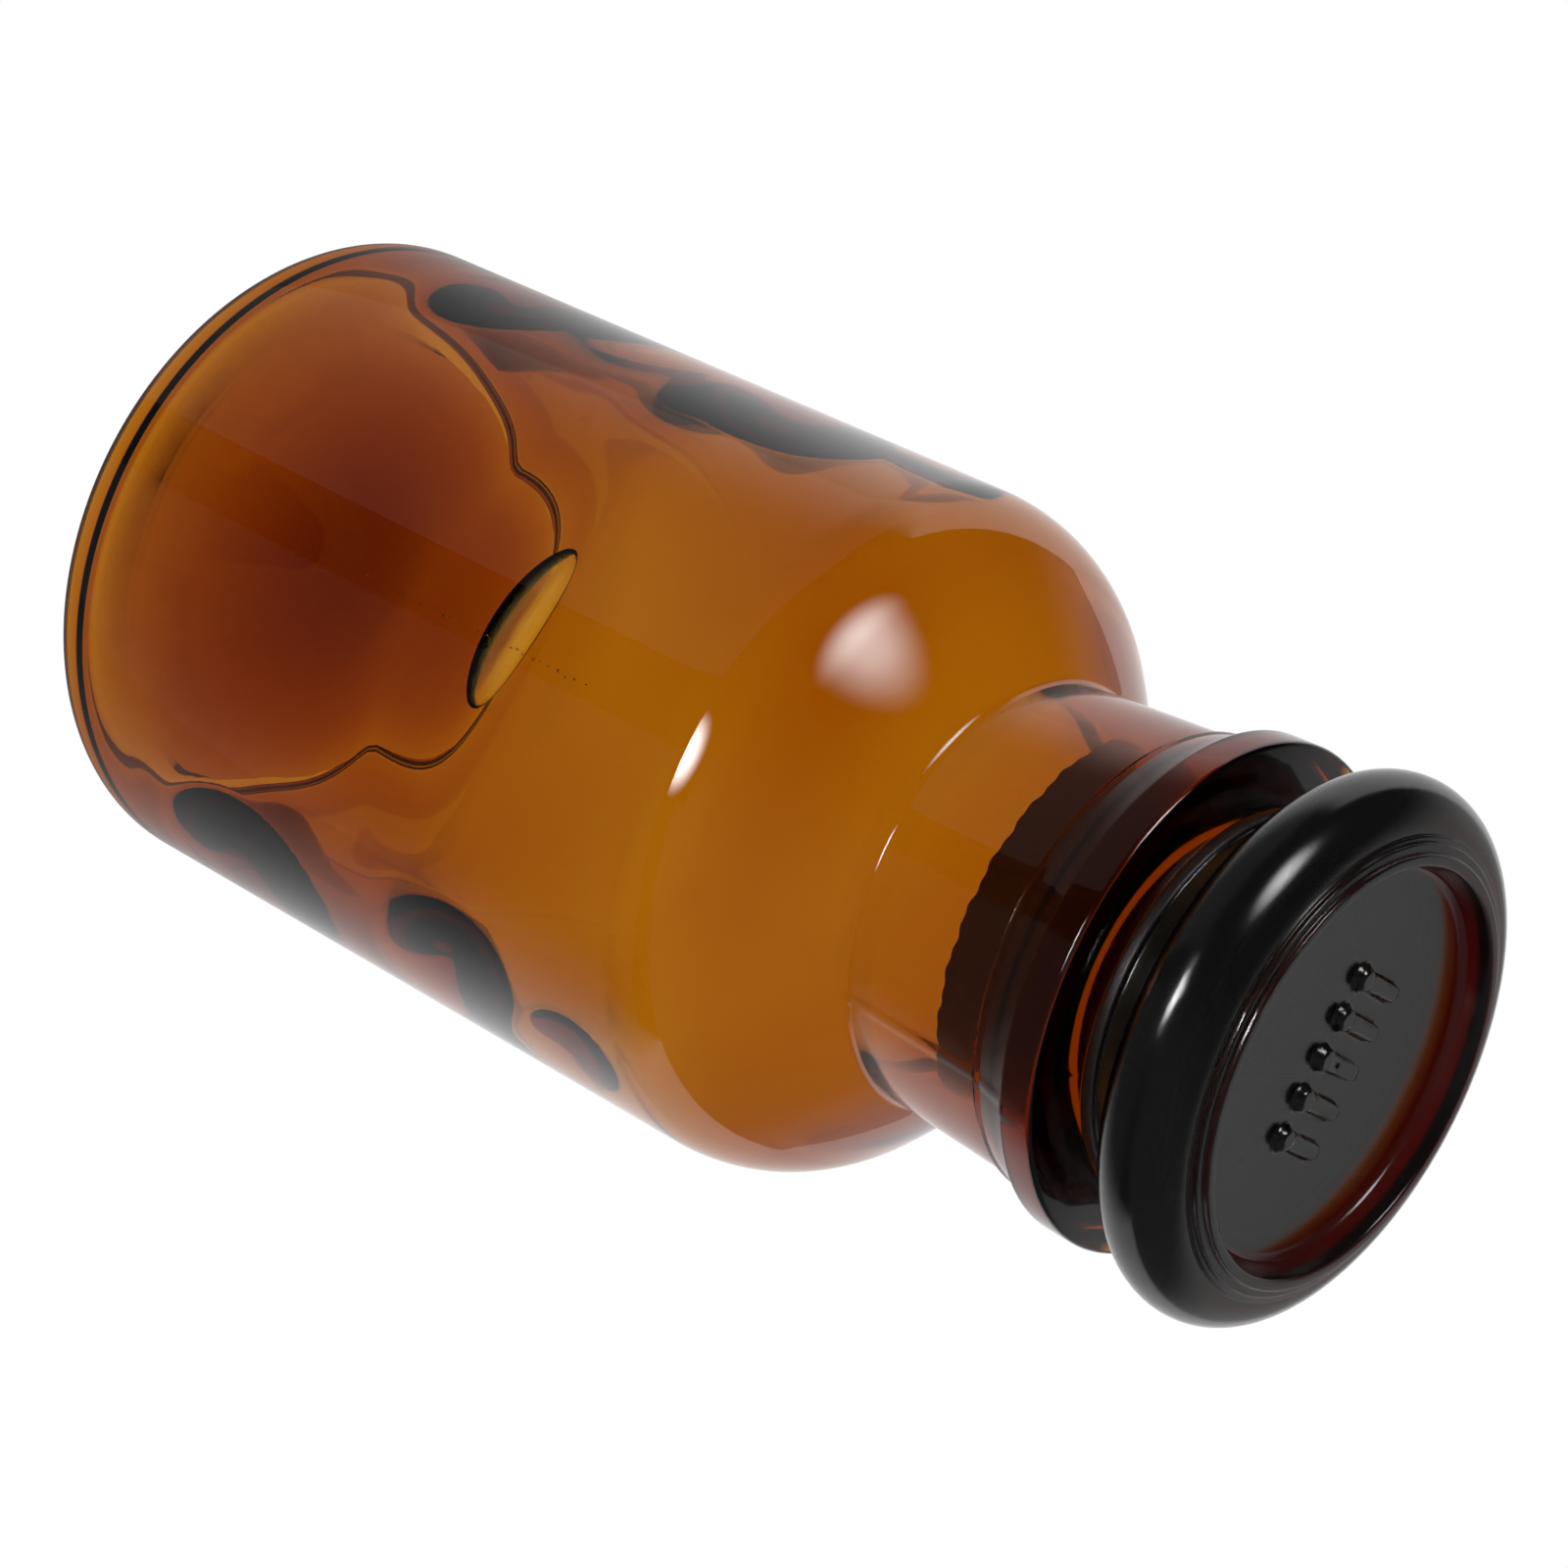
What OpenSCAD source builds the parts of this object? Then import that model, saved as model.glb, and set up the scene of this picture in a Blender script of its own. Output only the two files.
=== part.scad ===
// Wide-mouth reagent bottle with a ground-in glass stopper.
// Two pieces of amber glass: the bottle and its stopper. Both are turned
// about the Z axis, and the bottle stands on Z = 0. All sizes are in mm.

/* [Bottle] */
// Outside diameter of the straight body
body_d = 57; // [54:0.5:60]
// Height at which the straight body ends and the shoulder starts
shoulder_z = 65.7; // [60:0.1:80]
// Thickness of the body wall
wall = 2.7; // [2.2:0.1:3.2]
// Height of the inner floor at its raised middle
floor_z = 11; // [8:0.1:11]
// Height of the hollow pressed up under the bottom
push_up = 1.2; // [1.2:0.1:2.2]

/* [Mouth] */
// Height of the mouth, where the stopper goes in
mouth_z = 101.7; // [99:0.1:110]
// Diameter of the ground bore at the mouth
mouth_d = 31.2; // [30:0.1:32]
// Length of the ground bore
ground_len = 14; // [12:0.5:16]
// Outside diameter of the collar round the mouth
collar_d = 40.8; // [40:0.1:42]

/* [Stopper] */
// Diameter of the stopper's head
head_d = 43.2; // [42:0.1:45]
// Thickness of the rounded edge of the head
head_t = 7.2; // [6.6:0.1:7.6]
// Gap between the collar and the underside of the head
head_gap = 4.5; // [3.5:0.1:6]
// Depth of the round recess in the top of the head
recess_depth = 2.3; // [1.5:0.1:3]

/* [Hidden] */
$fn = 96;

amber = "#8a4a0c";
dark_amber = "#2a1410";

// Radius lost for each millimetre of depth in the 1 in 10 ground taper
taper = 0.05;
// Space between the ground faces when the stopper is seated
seat_gap = 0.05;

body_r = body_d / 2;
mouth_r = mouth_d / 2;
collar_r = collar_d / 2;
bore_bottom_z = mouth_z - ground_len;
bore_bottom_r = mouth_r - taper * ground_len;

// Underside: a narrow standing ring round the pressed up hollow
heel_r = 3;
ring_r = body_r - heel_r - 0.5;
ring_h = 1.2;
ring_slope_w = 1.3;

// Inner floor: a gutter at the foot of the wall, a sharp crease, then the raised middle
foot_r = 2;
gutter_z = 1.9;
crease_r = body_r - 7.1;
crease_z = 4;
floor_rise_w = 4.4;
floor_rise_h = 1.8;

// Shoulder: a rounded corner, then a flatter curve up to the root of the neck
shoulder_r = 12;
shoulder_deg = 45;
crown_bend_r = 21.5;
crown_r = 50;
crown_deg = 54;
shoulder_end = [body_r - shoulder_r, shoulder_z]
    + shoulder_r * [cos(shoulder_deg), sin(shoulder_deg)];
crown_bend = [crown_bend_r, cone_z(shoulder_end, crown_bend_r)];
crown_start = crown_bend + crown_r * tan((crown_deg - shoulder_deg) / 2)
    * [sin(shoulder_deg), -cos(shoulder_deg)];
crown_centre = crown_start - crown_r * [cos(shoulder_deg), sin(shoulder_deg)];

// Neck, which widens a little from its root to the step under the collar
neck_root_r = mouth_r + 1.9;
neck_top_r = mouth_r + 2.75;
neck_fillet = 1;
neck_step = 0.4;
neck_step_z = mouth_z - 7.5;
flare_z = mouth_z - 4.2;
flare_r = collar_r - 0.75;
collar_face_z = mouth_z - 3.4;
collar_edge_z = mouth_z - 0.9;
collar_bevel = 0.4;
lip_r = mouth_r + 3.3;
lip_z = mouth_z - 0.55;
throat_fillet = 1.6;

// Stopper
shank_z = mouth_z + 0.9;
shank_r = mouth_r - 0.35;
plug_bottom_z = bore_bottom_z + 0.6;
plug_chamfer = 0.5;
rim_r = head_t / 2;
rim_z = mouth_z + head_gap + rim_r;
rim_in_r = head_d / 2 - rim_r;
underside_fillet = 2.2;
crown_z = rim_z + rim_r;
ledge_h = 0.45;
ledge_r = rim_in_r - 0.25;
lip_ring_h = 0.4;
lip_ring_r = rim_in_r - 1.0;
recess_r = rim_in_r - 1.9;
recess_z = crown_z + ledge_h + lip_ring_h - recess_depth;
recess_corner = 0.7;

// Raised mark on the floor of the recess: a plain row of bars and pips
mark_count = 5;
mark_pitch = 3.2;
mark_bar = [1.4, 5.2, 0.7];
mark_pip_d = 1.9;
mark_pip_rise = 0.1;
mark_sink = 0.3;
mark_y = 1;

// Points of a circular arc in the [radius, height] plane
function arc(centre, r, from, to, steps = 10) = [
    for (i = [0 : steps])
        let (a = from + (to - from) * i / steps)
        [centre[0] + r * cos(a), centre[1] + r * sin(a)]
];

// Height at which a cone with the shoulder's slope that passes through a point has radius r
function cone_z(point, r) = point[1] + (point[0] - r) / tan(shoulder_deg);

// Outside of the bottle, from the middle of the bottom up to the mouth
function bottle_outside() =
    let (
        shoulder = arc([body_r - shoulder_r, shoulder_z], shoulder_r, 0, shoulder_deg),
        root_z = crown_bend[1] + (crown_bend_r - neck_root_r) / tan(crown_deg),
        lean = atan((neck_top_r - neck_root_r) / (neck_step_z - root_z)),
        cut = neck_fillet * tan((crown_deg + lean) / 2),
        root_start = [neck_root_r + cut * sin(crown_deg), root_z - cut * cos(crown_deg)],
        root_centre = root_start + neck_fillet * [cos(crown_deg), sin(crown_deg)]
    )
    concat(
        [[0, push_up], [ring_r - ring_slope_w, ring_h], [ring_r, 0]],
        arc([body_r - heel_r, heel_r], heel_r, -90, 0),
        shoulder,
        arc(crown_centre, crown_r, shoulder_deg, crown_deg, 8),
        arc(root_centre, neck_fillet, 180 + crown_deg, 180 - lean, 6),
        [
            [neck_top_r, neck_step_z],
            [neck_top_r + neck_step, neck_step_z],
            [flare_r, flare_z],
            [collar_r, collar_face_z],
            [collar_r, collar_edge_z - collar_bevel],
            [collar_r - collar_bevel, collar_edge_z],
            [lip_r, lip_z],
            [mouth_r, mouth_z]
        ]
    );

// Inside of the bottle, from the mouth down to the middle of the floor
function bottle_inside() =
    let (
        in_r = body_r - wall,
        shoulder = arc([body_r - shoulder_r, shoulder_z], shoulder_r - wall, shoulder_deg, 0),
        crown = arc(crown_centre, crown_r - wall, crown_deg, shoulder_deg, 8),
        throat_r = bore_bottom_r,
        throat_root_r = throat_r + throat_fillet * (1 - cos(crown_deg)),
        throat_z = crown[0][1] + (crown[0][0] - throat_root_r) / tan(crown_deg)
            + throat_fillet * sin(crown_deg)
    )
    concat(
        [[bore_bottom_r, bore_bottom_z]],
        arc([throat_r + throat_fillet, throat_z], throat_fillet, 180, 180 + crown_deg, 6),
        crown,
        shoulder,
        arc([in_r - foot_r, gutter_z + foot_r], foot_r, 0, -90),
        [
            [crease_r, crease_z],
            [crease_r - floor_rise_w, crease_z + floor_rise_h],
            [0, floor_z]
        ]
    );

// Outline of the stopper, from the middle of its lower end to the recess
function stopper_outline() =
    let (
        plug_r = mouth_r - seat_gap - taper * (mouth_z - plug_bottom_z),
        under_z = rim_z - rim_r
    )
    concat(
        [
            [0, plug_bottom_z],
            [plug_r - plug_chamfer, plug_bottom_z],
            [plug_r, plug_bottom_z + plug_chamfer],
            [mouth_r - seat_gap, mouth_z],
            [mouth_r - seat_gap, shank_z - 0.3],
            [shank_r, shank_z]
        ],
        arc([shank_r + underside_fillet, under_z - underside_fillet], underside_fillet, 180, 90, 6),
        arc([rim_in_r, rim_z], rim_r, -90, 90, 16),
        [
            [ledge_r, crown_z],
            [ledge_r, crown_z + ledge_h],
            [lip_ring_r, crown_z + ledge_h],
            [lip_ring_r, crown_z + ledge_h + lip_ring_h],
            [recess_r, crown_z + ledge_h + lip_ring_h]
        ],
        arc([recess_r - recess_corner, recess_z + recess_corner], recess_corner, 0, -90, 4),
        [[0, recess_z]]
    );

module mark() {
    for (i = [0 : mark_count - 1]) {
        translate([(i - (mark_count - 1) / 2) * mark_pitch, mark_y, recess_z - mark_sink]) {
            translate([-mark_bar[0] / 2, -mark_bar[1] / 2, 0])
                cube([mark_bar[0], mark_bar[1], mark_bar[2] + mark_sink]);
            translate([0, -mark_bar[1] / 2, 0])
                cylinder(d = mark_pip_d, h = mark_bar[2] + mark_sink + mark_pip_rise, $fn = 24);
        }
    }
}

module bottle() {
    color(amber)
        rotate_extrude()
            polygon(concat(bottle_outside(), bottle_inside()));
}

module stopper() {
    color(dark_amber) {
        rotate_extrude()
            polygon(stopper_outline());
        mark();
    }
}

bottle();
stopper();
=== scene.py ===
"""Looks of a wide-mouth amber reagent bottle with its ground-in glass stopper.

Both pieces are turned about Z. Each is one glass mesh that replaces its CAD node: an outline
of rounded corners is swept round the axis. The inner wall of the bottle is then made uneven,
as blown glass is, and the front wall gets a flat bubble and a line of tiny ones. Outlines
and places on the glass are in millimetres and degrees round Z, with the camera at -90.
"""

import math

import bmesh
import bpy
import numpy as np
from mathutils import Matrix, Vector


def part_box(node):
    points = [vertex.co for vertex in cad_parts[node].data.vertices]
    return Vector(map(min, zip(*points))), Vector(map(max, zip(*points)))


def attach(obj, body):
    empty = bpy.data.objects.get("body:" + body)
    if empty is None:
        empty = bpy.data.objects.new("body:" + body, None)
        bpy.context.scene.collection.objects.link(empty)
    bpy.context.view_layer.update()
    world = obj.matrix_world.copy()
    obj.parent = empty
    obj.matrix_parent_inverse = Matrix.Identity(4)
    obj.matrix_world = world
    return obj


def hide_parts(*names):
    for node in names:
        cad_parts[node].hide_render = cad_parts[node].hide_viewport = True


MM = 0.001
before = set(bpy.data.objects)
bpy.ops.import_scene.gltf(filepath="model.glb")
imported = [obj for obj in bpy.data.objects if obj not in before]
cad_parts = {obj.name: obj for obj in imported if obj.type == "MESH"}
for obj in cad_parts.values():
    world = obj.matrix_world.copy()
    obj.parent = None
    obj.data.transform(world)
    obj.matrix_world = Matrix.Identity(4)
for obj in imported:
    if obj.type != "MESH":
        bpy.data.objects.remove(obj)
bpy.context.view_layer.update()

# ---------------------------------------------------------------- sizes from the frame (mm)
bottle_low, bottle_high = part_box("bottle")
stopper_low, stopper_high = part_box("stopper")
BODY_R = bottle_high.x / MM
MOUTH_Z = bottle_high.z / MM
HEAD_R = stopper_high.x / MM
TOP_Z = stopper_high.z / MM
PLUG_Z = stopper_low.z / MM

# ---------------------------------------------------------------- sizes of the glass (mm)
WALL = 2.7
SHOULDER_Z = 65.7
SHOULDER_R = 12.0
CROWN_R = 21.5
CROWN_BEND_R = 50.0
CROWN_FALL = 36.0  # degrees
HEEL_R = 3.0
FLOOR_Z = 11.0
PEAK_CUT = 1.2
PUSH_UP = 1.2
RING_R = 25.2
CREASE_R = 21.4
CREASE_Z = 4.0
MOUTH_R = 15.6
NECK_ROOT_R = 17.5
NECK_FILLET = 1.0
NECK_TOP_R = 18.35
STEP_Z = MOUTH_Z - 7.5
COLLAR_R = 20.4
BORE_TAPER = 0.05
GROUND_LEN = 14.0
SEAT_GAP = 0.05
THROAT_R = MOUTH_R - BORE_TAPER * GROUND_LEN
RIM_R = 3.6
RIM_Z = MOUTH_Z + 4.5 + RIM_R
RECESS_Z = TOP_Z - 2.3
SEGMENTS = 256


# ---------------------------------------------------------------- outlines
def rounded(corners):
    """Points of a line through the corners (r, z, rounding, steps), each rounded by an arc."""
    points = []
    for i, (r, z, radius, steps) in enumerate(corners):
        here = np.array([r, z])
        if radius == 0 or i in (0, len(corners) - 1):
            points.append(here)
            continue
        before = np.array(corners[i - 1][:2]) - here
        after = np.array(corners[i + 1][:2]) - here
        before = before / np.linalg.norm(before)
        after = after / np.linalg.norm(after)
        half = math.acos(np.clip(before @ after, -1, 1)) / 2
        middle = (before + after) / np.linalg.norm(before + after)
        centre = here + middle * radius / math.sin(half)
        start = here + before * radius / math.tan(half) - centre
        end = here + after * radius / math.tan(half) - centre
        turn = math.pi - 2 * half
        for k in range(steps + 1):
            t = k / steps
            w0 = math.sin((1 - t) * turn) / math.sin(turn)
            w1 = math.sin(t * turn) / math.sin(turn)
            points.append(centre + start * w0 + end * w1)
    return np.array(points)


def spaced(points, longest, like=None):
    """The same line with long stretches cut into equal parts, as many as the line like needs."""
    like = points if like is None else like
    out = [points[0]]
    for a, b, c, d in zip(points[:-1], points[1:], like[:-1], like[1:]):
        parts = max(1, math.ceil(np.linalg.norm(d - c) / longest))
        out += [a + (b - a) * k / parts for k in range(1, parts + 1)]
    return np.array(out)


# The shoulder and the crown above it are arcs that join on a cone of 45 degrees, r + z = CONE.
# CONE_IN is the same cone for the inner wall, at the wall's thickness from it.
HALF_TURN = math.tan(math.radians(22.5))
CROWN_TURN = math.radians(45.0 - CROWN_FALL)
CONE = BODY_R + SHOULDER_Z + SHOULDER_R * HALF_TURN
CONE_IN = CONE - WALL * (1 + HALF_TURN)
CROWN_IN_R = CROWN_R - WALL * math.cos(math.radians(45) + CROWN_TURN / 2) / math.cos(CROWN_TURN / 2)
ROOT_Z = CONE - CROWN_R + (CROWN_R - NECK_ROOT_R) * math.tan(math.radians(CROWN_FALL))
THROAT_Z = CONE_IN - CROWN_IN_R + (CROWN_IN_R - THROAT_R) * math.tan(math.radians(CROWN_FALL))


def bottle_outside():
    """From the middle of the underside, over the contact ring, up to the mouth."""
    corners = [
        (0, PUSH_UP, 0, 1),
        (RING_R - 1.5, PUSH_UP, 1.0, 6),
        (RING_R - 0.2, 0, 0.5, 5),
        (BODY_R, 0, HEEL_R, 14),
        (BODY_R, CONE - BODY_R, SHOULDER_R, 26),
        (CROWN_R, CONE - CROWN_R, CROWN_BEND_R, 10),
        (NECK_ROOT_R, ROOT_Z, NECK_FILLET, 8),
        (NECK_TOP_R - 0.02, STEP_Z - 0.5, 0.1, 3),
        (NECK_TOP_R - 0.22, STEP_Z - 0.15, 0.05, 3),
        (NECK_TOP_R + 0.42, STEP_Z, 0.12, 5),
        (NECK_TOP_R + 0.34, STEP_Z + 0.5, 0.3, 4),
        (COLLAR_R - 0.95, MOUTH_Z - 4.15, 0.06, 3),
        (COLLAR_R - 0.08, MOUTH_Z - 3.8, 0.4, 6),
        (COLLAR_R, MOUTH_Z - 0.85, 0.45, 7),
        (MOUTH_R + 3.3, MOUTH_Z - 0.55, 0.5, 4),
        (MOUTH_R, MOUTH_Z, 0.15, 4),
    ]
    return rounded(corners + [(MOUTH_R - 0.1, MOUTH_Z - 2, 0, 1)])[:-1]


def bottle_inside(slump):
    """The inner wall, from the mouth down to the raised middle of the floor. With slump 0 the
    floor slopes down to the foot of the wall; with slump 1 it ends in a step there."""
    gutter_r = CREASE_R + 0.6
    gutter_z = (CREASE_Z - 0.3) * (1 - slump) + 2.2 * slump
    corners = [
        (MOUTH_R - BORE_TAPER * 0.5, MOUTH_Z - 0.5, 0, 1),
        (THROAT_R, MOUTH_Z - GROUND_LEN, 0, 1),
        (THROAT_R, THROAT_Z, 1.6, 10),
        (CROWN_IN_R, CONE_IN - CROWN_IN_R, CROWN_BEND_R - WALL, 10),
        (BODY_R - WALL, CONE_IN - BODY_R + WALL, SHOULDER_R - WALL, 18),
        (BODY_R - WALL - 0.15, 1.5 + 0.6 * slump, 1.2 + 2.2 * slump, 14),
        (gutter_r, gutter_z, 0.1, 4),
        (CREASE_R, CREASE_Z, 0.12, 4),
        (17.0, CREASE_Z + 1.8, 10.0, 8),
        (4.0, FLOOR_Z - PEAK_CUT, 24.0, 8),
        (0, FLOOR_Z - PEAK_CUT, 0, 1),
    ]
    return rounded(corners)


def stopper_outline():
    """From the middle of the plug's end, up round the head, to the middle of the recess."""
    plug_r = MOUTH_R - SEAT_GAP - BORE_TAPER * (MOUTH_Z - PLUG_Z)
    shank_r = MOUTH_R - 0.35
    under_z = RIM_Z - RIM_R
    rim_in = HEAD_R - RIM_R
    crown_z = RIM_Z + RIM_R
    corners = [
        (0, PLUG_Z, 0, 1),
        (plug_r, PLUG_Z, 0.5, 6),
        (MOUTH_R - SEAT_GAP, MOUTH_Z, 0.1, 2),
        (MOUTH_R - SEAT_GAP, MOUTH_Z + 0.7, 0.15, 4),
        (shank_r, MOUTH_Z + 0.95, 0.3, 4),
        (shank_r, under_z, 2.2, 12),
        (rim_in + 0.4, under_z, 0.4, 2),
    ]
    line = rounded(corners)[:-1]
    angle = np.radians(np.linspace(-86, 88, 44))
    rim = np.stack([rim_in + RIM_R * np.cos(angle), RIM_Z + RIM_R * np.sin(angle)], 1)
    top = [
        (rim_in + 0.2, crown_z, 0, 1),
        (rim_in - 0.25, crown_z, 0.12, 3),
        (rim_in - 0.3, crown_z + 0.42, 0.15, 4),
        (rim_in - 0.95, crown_z + 0.44, 0.12, 3),
        (rim_in - 1.0, TOP_Z, 0.2, 5),
        (rim_in - 1.9, TOP_Z, 0.3, 6),
        (rim_in - 2.5, RECESS_Z, 0.7, 8),
        (0, RECESS_Z - 0.25, 0, 1),
    ]
    middle = [(r, RECESS_Z - 0.25 + 0.25 * (r / 16) ** 2) for r in np.arange(9.6, 0.1, -0.2)]
    return np.concatenate([line, rim, rounded(top)[:-1], middle, [(0, RECESS_Z - 0.25)]])


# ---------------------------------------------------------------- turning an outline into a mesh
def turned(name, points, shape, other=None, share=None):
    """A closed mesh: the outline swept round Z. shape(r, z, angle, out_r, out_z) moves its points.

    out_r and out_z are the outline's direction out of the glass at each point. Where share(angle)
    is more than 0, the outline turns that far into the other one.
    """
    angle = np.arange(SEGMENTS) * 2 * math.pi / SEGMENTS
    ring = points[1:-1]
    r = np.repeat(ring[:, :1], SEGMENTS, 1)
    z = np.repeat(ring[:, 1:], SEGMENTS, 1)
    a = np.repeat(angle[None, :], len(ring), 0)
    if other is not None:
        r = r + share(a) * (other[1:-1, :1] - r)
        z = z + share(a) * (other[1:-1, 1:] - z)
    along = points[2:] - points[:-2]
    along = along / np.linalg.norm(along, axis=1)[:, None]
    r, z = shape(r, z, a, along[:, 1:], -along[:, :1])
    co = np.stack([r * np.cos(a), r * np.sin(a), z], -1).reshape(-1, 3)
    first, last = len(co), len(co) + 1
    ends = np.array([[0, 0, points[0, 1]], [0, 0, points[-1, 1]]])
    faces = []
    for i in range(len(ring) - 1):
        for j in range(SEGMENTS):
            k = (j + 1) % SEGMENTS
            here, there = i * SEGMENTS, (i + 1) * SEGMENTS
            faces.append((here + j, here + k, there + k, there + j))
    end = (len(ring) - 1) * SEGMENTS
    for j in range(SEGMENTS):
        k = (j + 1) % SEGMENTS
        faces.append((first, k, j))
        faces.append((last, end + j, end + k))
    mesh = bpy.data.meshes.new(name)
    mesh.from_pydata((np.concatenate([co, ends]) * MM).tolist(), [], faces)
    mesh.polygons.foreach_set("use_smooth", [True] * len(mesh.polygons))
    mesh.update()
    piece = bpy.data.objects.new(name, mesh)
    bpy.context.scene.collection.objects.link(piece)
    return piece


# ---------------------------------------------------------------- unevenness of blown glass
def smooth(x):
    x = np.clip(x, 0, 1)
    return x * x * (3 - 2 * x)


def lump(a, z, place, half, rise, edge, slant=0.0):
    """A raised patch with a flat top. place is (degrees, height), half its half width and height
    in mm, edge the part of the half size over which it falls, slant its lean in mm per mm."""
    across = (np.degrees(a) - place[0] + 180) % 360 - 180
    across = np.radians(across) * (BODY_R - WALL)
    up = z - place[1] - slant * across
    far = np.hypot(across / half[0], up / half[1])
    return rise * smooth((1 - far) / edge)


# Thick places in the wall, and one thin one, whose rise is negative:
# (degrees, height), (half width, half height), rise, edge, slant.
LUMPS = [
    ((-165, 16.5), (10, 8), 4.4, 1.2, 0.1),
    ((-165, 48.5), (9.5, 10.5), 4.2, 1.0, 0.3),
    ((-169, 61), (5, 7), 1.6, 1.0, 0.4),
    ((-172, 31), (8, 7), -1.1, 1.0, 0.0),
    ((-17, 18), (11, 11), 4.2, 1.0, -0.3),
    ((-26, 45), (9, 8.5), 5.2, 1.5, -0.5),
    ((-22, 58), (6, 6), 0.9, 1.0, -0.3),
]


THINNING = 0.8


def settle(r, z, a, out_r, out_z):
    """Moves the inner wall between floor and neck: slow waves, thinning in its upper half
    and the thick places."""
    wall = smooth((z - 7) / 8) * smooth((76 - z) / 8) * (out_r < -0.3)
    wave = 0.2 * np.sin(2 * a + 0.09 * z)
    wave = wave + 0.1 * np.sin(3 * a - 0.16 * z + 1)
    wave = wave + 0.03 * np.sin(0.33 * z + 2 * np.sin(a + 1))
    thick = wave - THINNING * smooth((z - 38) / 14) * smooth((74 - z) / 8)
    for spot in LUMPS:
        thick = thick + lump(a, z, *spot)
    return r + out_r * thick * wall, z + out_z * thick * wall


def mark_wave(a):
    """How far the wavy crease round the floor strays from a circle."""
    wave = 0.2 * np.sin(a + 2.2) + 0.16 * np.sin(3 * a + 0.5) + 0.12 * np.sin(7 * a + 1)
    return wave + 0.07 * np.sin(19 * a) + 0.06 * np.sin(41 * a + 2)


def near_angle(a, degrees, half):
    """A bell curve over the angle: 1 at degrees, and 0.37 at half, in degrees, from there."""
    away = (np.degrees(a) - degrees + 180) % 360 - 180
    return np.exp(-(away / half) ** 2)


def bottle_shape(r, z, a, out_r, out_z):
    """Adds the neck's mould seam, the waves of the floor's crease and the uneven wall."""
    seam = near_angle(a, -48, 0.9) * (z > ROOT_Z) * (z < MOUTH_Z - 3.5) * (out_r > 0.3)
    r = r + 0.1 * seam
    near = np.exp(-((r - CREASE_R + 1.2) / 1.8) ** 2) * (z < FLOOR_Z) * (z > 1.8)
    r = r + mark_wave(a) * near
    return settle(r, z, a, out_r, out_z)


def stroke(x, y, half, round_by):
    """Distance in mm to a bar with round corners, less than zero inside it."""
    dx = np.maximum(np.abs(x) - (half[0] - round_by), 0)
    dy = np.maximum(np.abs(y) - (half[1] - round_by), 0)
    return np.hypot(dx, dy) - round_by


SKIN = np.random.default_rng(3).normal(size=(400, SEGMENTS))
SKIN = (SKIN + np.roll(SKIN, 1, 0) + np.roll(SKIN, 1, 1)) / 3
MARKS = 5
MARK_PITCH = 3.2
MARK_HALF = (0.7, 2.6)
MARK_RISE = 0.7


def stopper_shape(r, z, a, out_r, out_z):
    """Raises a row of bars, each with a round pip at one end, on the floor of the recess, and
    adds the mould seam of the head, its orange-peel skin and the chipped edge of the grinding."""
    rim = (z > RIM_Z - 1.5) & (r > HEAD_R - 2 * RIM_R + 0.5)
    peel = SKIN[: r.shape[0], : r.shape[1]] * near_angle(a, -92, 9) * rim
    sunk = 0.015 * peel + 0.06 * near_angle(a, -100.5, 0.8) * rim
    r, z = r - sunk * out_r, z - sunk * out_z
    edge = np.exp(-((z - PLUG_Z) / 0.8) ** 2) * (r > HEAD_R - 2 * RIM_R - 1)
    chips = 0.1 * np.sin(23 * a) + 0.08 * np.sin(57 * a + 1) + 0.9 * near_angle(a, -166, 16)
    z = z + (chips + 0.2) * edge
    x, y = r * np.cos(a), r * np.sin(a)
    floor = (r < HEAD_R - RIM_R - 3.4) & (z > RECESS_Z - 1) & (out_z > 0.5)
    height = np.zeros_like(z)
    for i in range(MARKS):
        at = (i - (MARKS - 1) / 2) * MARK_PITCH
        bar = stroke(x - at, y - 1, MARK_HALF, 0.65)
        pip = np.hypot(x - at, y - 1 + MARK_HALF[1]) - 0.95
        height = np.maximum(height, MARK_RISE * smooth(0.5 - bar / 0.25))
        height = np.maximum(height, (MARK_RISE + 0.1) * smooth(0.5 - pip / 0.4))
    return r, np.minimum(z + height * floor, TOP_Z)


# ---------------------------------------------------------------- materials
def math_node(tree, kind, a, b=None):
    made = tree.nodes.new("ShaderNodeMath")
    made.operation = kind
    for socket, value in zip(made.inputs, (a, b)):
        if isinstance(value, (int, float)):
            socket.default_value = value
        elif value is not None:
            tree.links.new(value, socket)
    return made.outputs[0]


def ramp(tree, value, low, high, at_low, at_high):
    """A smooth step of value between low and high."""
    made = tree.nodes.new("ShaderNodeMapRange")
    made.interpolation_type = "SMOOTHSTEP"
    tree.links.new(value, made.inputs["Value"])
    made.inputs["From Min"].default_value = low
    made.inputs["From Max"].default_value = high
    made.inputs["To Min"].default_value = at_low
    made.inputs["To Max"].default_value = at_high
    return made.outputs["Result"]


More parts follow.
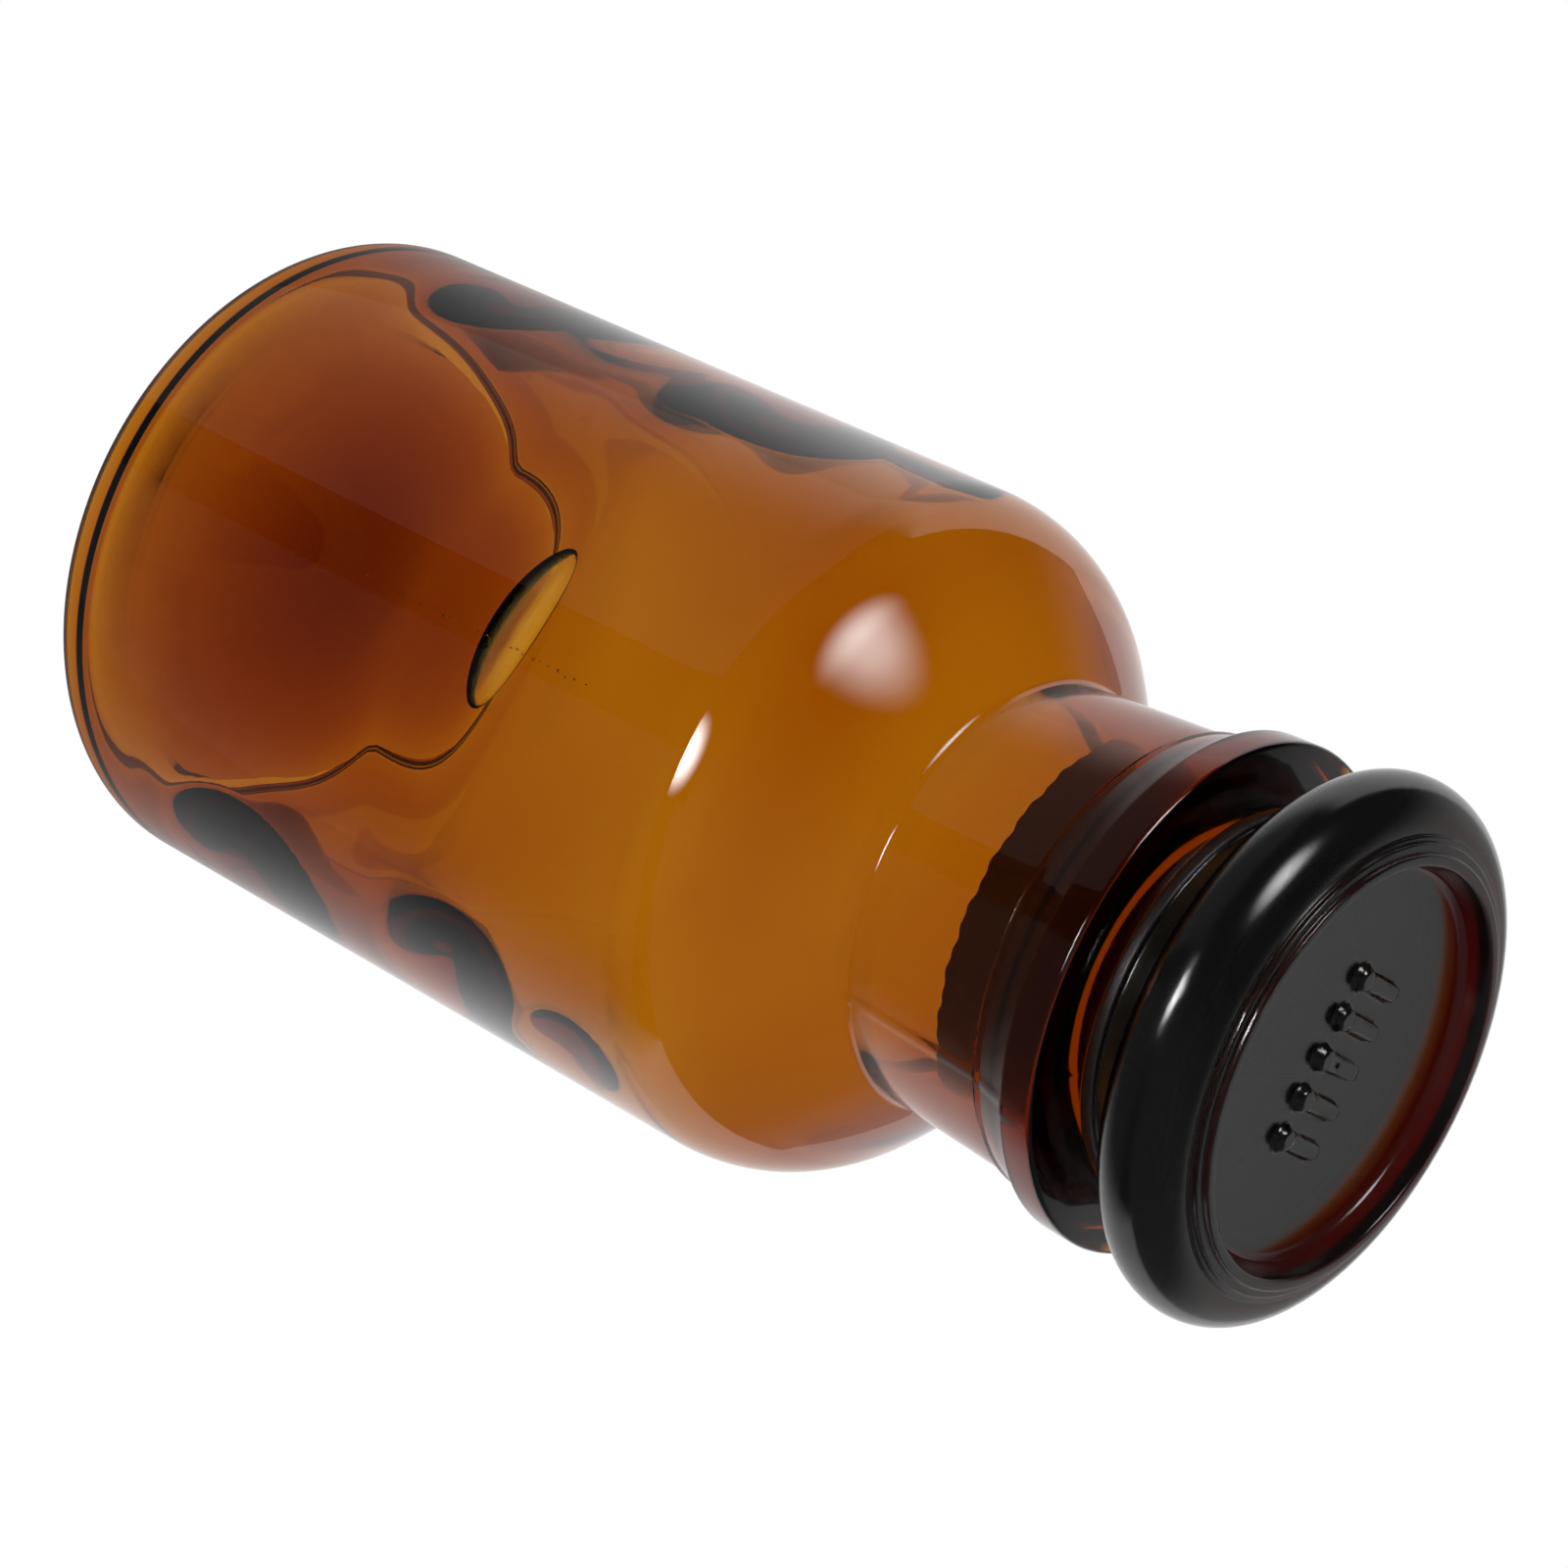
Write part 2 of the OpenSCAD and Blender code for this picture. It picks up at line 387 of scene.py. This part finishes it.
def glass(name, absorb, gloss, ground, ground_low, ground_high, ground_in, ground_out):
    """Amber glass that takes colour with depth: absorb is (red, green, blue) per metre.

    It is polished, apart from the ground joint: heights ground_low to ground_high, radii
    ground_in to ground_out, in metres.
    """
    mat = bpy.data.materials.new(name)
    mat.use_nodes = True
    tree = mat.node_tree
    shader = tree.nodes["Principled BSDF"]
    shader.inputs["Base Color"].default_value = (1, 1, 1, 1)
    shader.inputs["Transmission Weight"].default_value = 1.0
    shader.inputs["IOR"].default_value = 1.52
    density = max(absorb)
    inside = tree.nodes.new("ShaderNodeVolumeAbsorption")
    inside.inputs["Color"].default_value = (*[1 - a / density for a in absorb], 1)
    inside.inputs["Density"].default_value = density
    tree.links.new(inside.outputs[0], tree.nodes["Material Output"].inputs["Volume"])

    place = tree.nodes.new("ShaderNodeTexCoord").outputs["Object"]
    split = tree.nodes.new("ShaderNodeSeparateXYZ")
    tree.links.new(place, split.inputs[0])
    x, y, z = split.outputs
    squares = math_node(tree, "ADD", math_node(tree, "MULTIPLY", x, x),
                        math_node(tree, "MULTIPLY", y, y))
    radius = math_node(tree, "SQRT", squares)
    grain = tree.nodes.new("ShaderNodeTexNoise")
    grain.inputs["Scale"].default_value = 900
    grain.inputs["Detail"].default_value = 3
    tree.links.new(place, grain.inputs["Vector"])
    ragged = math_node(tree, "MULTIPLY_ADD", grain.outputs["Fac"], 0.0012)
    ragged.node.inputs[2].default_value = -0.0006
    height = math_node(tree, "ADD", z, ragged)
    joint = ramp(tree, height, ground_low - 0.0001, ground_low + 0.0001, 0, 1)
    for value, low, high, at_low, at_high in (
        (z, ground_high - 0.0001, ground_high + 0.0001, 1, 0),
        (radius, ground_in - 0.0001, ground_in + 0.0001, 0, 1),
        (radius, ground_out - 0.0001, ground_out + 0.0001, 1, 0),
    ):
        joint = math_node(tree, "MULTIPLY", joint, ramp(tree, value, low, high, at_low, at_high))
    tree.links.new(ramp(tree, joint, 0, 1, gloss, ground), shader.inputs["Roughness"])
    return mat


AMBER = (188.0, 425.0, 1300.0)
# The stopper's glass is a denser copy of the bottle's amber, absorbing two to 2.7 times as much per
# metre. Its own depth darkens it for real; the extra density is painted shade, darkening it as
# shade and dark reflections do.
SHADED_AMBER = (500.0, 1150.0, 2600.0)
amber = glass("amber_glass", AMBER, 0.0, 0.05, (MOUTH_Z - GROUND_LEN) * MM, (MOUTH_Z - 0.1) * MM,
              0.0, (MOUTH_R + 0.1) * MM)
dark = glass("shaded_amber_glass", SHADED_AMBER, 0.16, 0.35, (PLUG_Z + 0.3) * MM, (MOUTH_Z + 0.8) * MM,
             (THROAT_R - 0.6) * MM, (MOUTH_R + 1) * MM)


# ---------------------------------------------------------------- the two pieces
def bubble(place, depth, half, lean, rings=16, around=48):
    """A flat bubble of air inside the wall, as a closed inner shell with its faces turned in.

    place is (degrees, height), depth its distance from the outer wall, half its half width,
    half height and half thickness, lean the turn of its long axis in degrees.
    """
    turn = math.radians(lean)
    placed = []
    for i in range(1, rings):
        lat = math.pi * i / rings
        reach = math.sin(lat)
        thick = math.cos(lat) * half[2]
        for j in range(around):
            lon = 2 * math.pi * j / around
            placed.append((half[0] * reach * math.cos(lon), half[1] * reach * math.sin(lon), thick))
    placed += [(0, 0, half[2]), (0, 0, -half[2])]
    points = []
    for u, v, w in placed:
        r = BODY_R - depth + w
        a = math.radians(place[0]) + (u * math.cos(turn) - v * math.sin(turn)) / BODY_R
        z = place[1] + u * math.sin(turn) + v * math.cos(turn)
        points.append((r * math.cos(a) * MM, r * math.sin(a) * MM, z * MM))
    top, bottom = len(points) - 2, len(points) - 1
    end = (rings - 2) * around
    faces = []
    for j in range(around):
        k = (j + 1) % around
        faces.append((top, k, j))
        faces.append((bottom, end + j, end + k))
        for i in range(rings - 2):
            here, there = i * around, (i + 1) * around
            faces.append((here + j, here + k, there + k, there + j))
    shell = bpy.data.meshes.new("bubble")
    shell.from_pydata(points, [], faces)
    shell.polygons.foreach_set("use_smooth", [True] * len(faces))
    return shell


BUBBLE_AT = (-94, 48.5)
SEED_LINE = -90.4
outside = spaced(bottle_outside(), 2.0)
sloping, stepped = bottle_inside(0), bottle_inside(1)
outline = np.concatenate([outside, spaced(sloping, 0.9)])
stepped_outline = np.concatenate([outside, spaced(stepped, 0.9, sloping)])
bottle = turned("bottle_glass", outline, bottle_shape, stepped_outline,
                lambda a: smooth((np.sin(a) + 0.4) / 0.6))
bottle.data.materials.append(amber)
melt = bmesh.new()
melt.from_mesh(bottle.data)
melt.from_mesh(bubble(BUBBLE_AT, 1.3, (7.4, 2.4, 0.7), -5))
seeds = np.random.default_rng(7)
for height in np.arange(25, 58, 0.9):
    size = seeds.uniform(0.05, 0.12)
    spot = (SEED_LINE + seeds.normal(0, 0.15), height + seeds.uniform(-0.3, 0.3))
    melt.from_mesh(bubble(spot, 0.4, (size, 1.6 * size, size), 0, 5, 6))
melt.to_mesh(bottle.data)
melt.free()
stopper = turned("stopper_glass", spaced(stopper_outline(), 1.2), stopper_shape)
stopper.data.materials.append(dark)

for piece, part, finish in (
    (bottle, "bottle", "amber_glass"),
    (stopper, "stopper", "stopper_glass"),
):
    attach(piece, part)
    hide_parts(part)

# ---------------------------------------------------------------- stage, light and camera
scene = bpy.context.scene
scene.view_settings.view_transform = "Standard"

bpy.ops.mesh.primitive_plane_add(size=6)
floor = bpy.context.object
floor.name = "floor"


def emit_by_ray(tree, out, kind, socket, mirrored):
    """White, to the camera and through the glass; mirrored is how bright it is in reflections."""
    path = tree.nodes.new("ShaderNodeLightPath")
    mix = tree.nodes.new("ShaderNodeMix")
    tree.links.new(path.outputs["Is Reflection Ray"], mix.inputs["Factor"])
    mix.inputs["A"].default_value = 1.0
    tree.links.new(mirrored, mix.inputs["B"])
    shader = tree.nodes.new(kind)
    shader.inputs["Color"].default_value = (1, 1, 1, 1)
    tree.links.new(mix.outputs["Result"], shader.inputs["Strength"])
    tree.links.new(shader.outputs[0], out.inputs[socket])


def part_of(tree, coordinate, axis):
    """One part of a texture coordinate. Y grows away from the camera."""
    split = tree.nodes.new("ShaderNodeSeparateXYZ")
    tree.links.new(tree.nodes.new("ShaderNodeTexCoord").outputs[coordinate], split.inputs[0])
    return split.outputs[axis]


white = bpy.data.materials.new("white_floor")
white.use_nodes = True
tree = white.node_tree
tree.nodes.remove(tree.nodes["Principled BSDF"])
emit_by_ray(tree, tree.nodes["Material Output"], "ShaderNodeEmission", "Surface",
            ramp(tree, part_of(tree, "Object", "Y"), -0.05, 0.05, 0.02, 0.9))
floor.data.materials.append(white)

world = bpy.data.worlds.new("studio")
scene.world = world
world.use_nodes = True
tree = world.node_tree
tree.nodes.remove(tree.nodes["Background"])
behind = ramp(tree, part_of(tree, "Generated", "Y"), 0.55, 0.9, 0.02, 0.42)
beside = ramp(tree, part_of(tree, "Generated", "X"), -0.3, 0.5, 0.0, 0.1)
emit_by_ray(tree, tree.nodes["World Output"], "ShaderNodeBackground", "Surface",
            math_node(tree, "ADD", behind, beside))


def softbox(name, toward, distance, half, strength, soft=0.5):
    """A glowing square in a direction from the middle of the bottle, seen only in reflections.

    soft is the part of its half size over which it fades toward its edge.
    """
    bpy.ops.mesh.primitive_plane_add(size=2 * half)
    panel = bpy.context.object
    panel.name = name
    mat = bpy.data.materials.new(name)
    mat.use_nodes = True
    tree = mat.node_tree
    tree.nodes.remove(tree.nodes["Principled BSDF"])
    away = tree.nodes.new("ShaderNodeVectorMath")
    away.operation = "LENGTH"
    tree.links.new(tree.nodes.new("ShaderNodeTexCoord").outputs["Object"], away.inputs[0])
    shader = tree.nodes.new("ShaderNodeEmission")
    fade = ramp(tree, away.outputs["Value"], half * (1 - soft), half, strength, 0)
    tree.links.new(fade, shader.inputs["Strength"])
    tree.links.new(shader.outputs[0], tree.nodes["Material Output"].inputs["Surface"])
    panel.data.materials.append(mat)
    toward = Vector(toward).normalized()
    panel.location = Vector((0, 0, 57 * MM)) + toward * distance
    panel.rotation_mode = "QUATERNION"
    panel.rotation_quaternion = toward.to_track_quat("Z", "Y")
    panel.visible_camera = False
    panel.visible_transmission = False
    panel.visible_shadow = False


def floor_panel(name, edge, toward, width, length, radiance):
    """A dim panel lying on the floor, seen only in reflections.

    Angles are in degrees to the right of the camera's side. One side of the panel starts at the
    bottle's edge, at angle edge, and runs away toward the other angle. As the camera sees it,
    the panel is left of that side where width is more than 0, and right where it is less.
    """
    light = bpy.data.lights.new(name, "AREA")
    light.shape = "RECTANGLE"
    light.size, light.size_y = abs(width), length
    light.energy = radiance * abs(width) * length * math.pi
    lamp = bpy.data.objects.new(name, light)
    e, t = math.radians(edge), math.radians(toward)
    run = Vector((math.sin(t), -math.cos(t), 0))
    side = Vector((run.y, -run.x, 0))
    start = Vector((math.sin(e), -math.cos(e), 0)) * BODY_R * MM
    lamp.location = start + run * length / 2 + side * width / 2 + Vector((0, 0, 1 * MM))
    lamp.rotation_mode = "QUATERNION"
    lamp.rotation_quaternion = Matrix((side, -run, Vector((0, 0, -1)))).transposed().to_quaternion()
    lamp.visible_camera = False
    lamp.visible_transmission = False
    scene.collection.objects.link(lamp)


softbox("key_small", (0.06, -0.98, -0.12), 0.42, 0.1, 34.0, 0.9)
softbox("top_soft", (-0.68, -0.39, 0.60), 0.8, 0.27, 13.0, 1.0)
floor_panel("veil_left", -10.5, -20, 0.3, 0.3, 0.12)
floor_panel("veil_right", 1, 4, -0.3, 0.3, 0.06)

# The camera looks down at the upright bottle and is rolled until the bottle lies on its side.
LENS = 96.16  # mm
CAMERA_AT = (0, -0.2689, 0.2536)
AIM = (-0.00025, 0, 0.05726)
ROLL = 116.65  # degrees
camera = bpy.data.objects.new("camera", bpy.data.cameras.new("camera"))
scene.collection.objects.link(camera)
scene.camera = camera
camera.data.lens = LENS
camera.location = CAMERA_AT
aim = Vector(AIM)
back = (camera.location - aim).normalized()
level = Vector((0, 0, 1)).cross(back).normalized()
up = back.cross(level)
turn = math.radians(ROLL)
right = level * math.cos(turn) + up * math.sin(turn)
top = back.cross(right)
camera.rotation_mode = "QUATERNION"
camera.rotation_quaternion = Matrix((right, top, back)).transposed().to_quaternion()

bpy.context.view_layer.update()
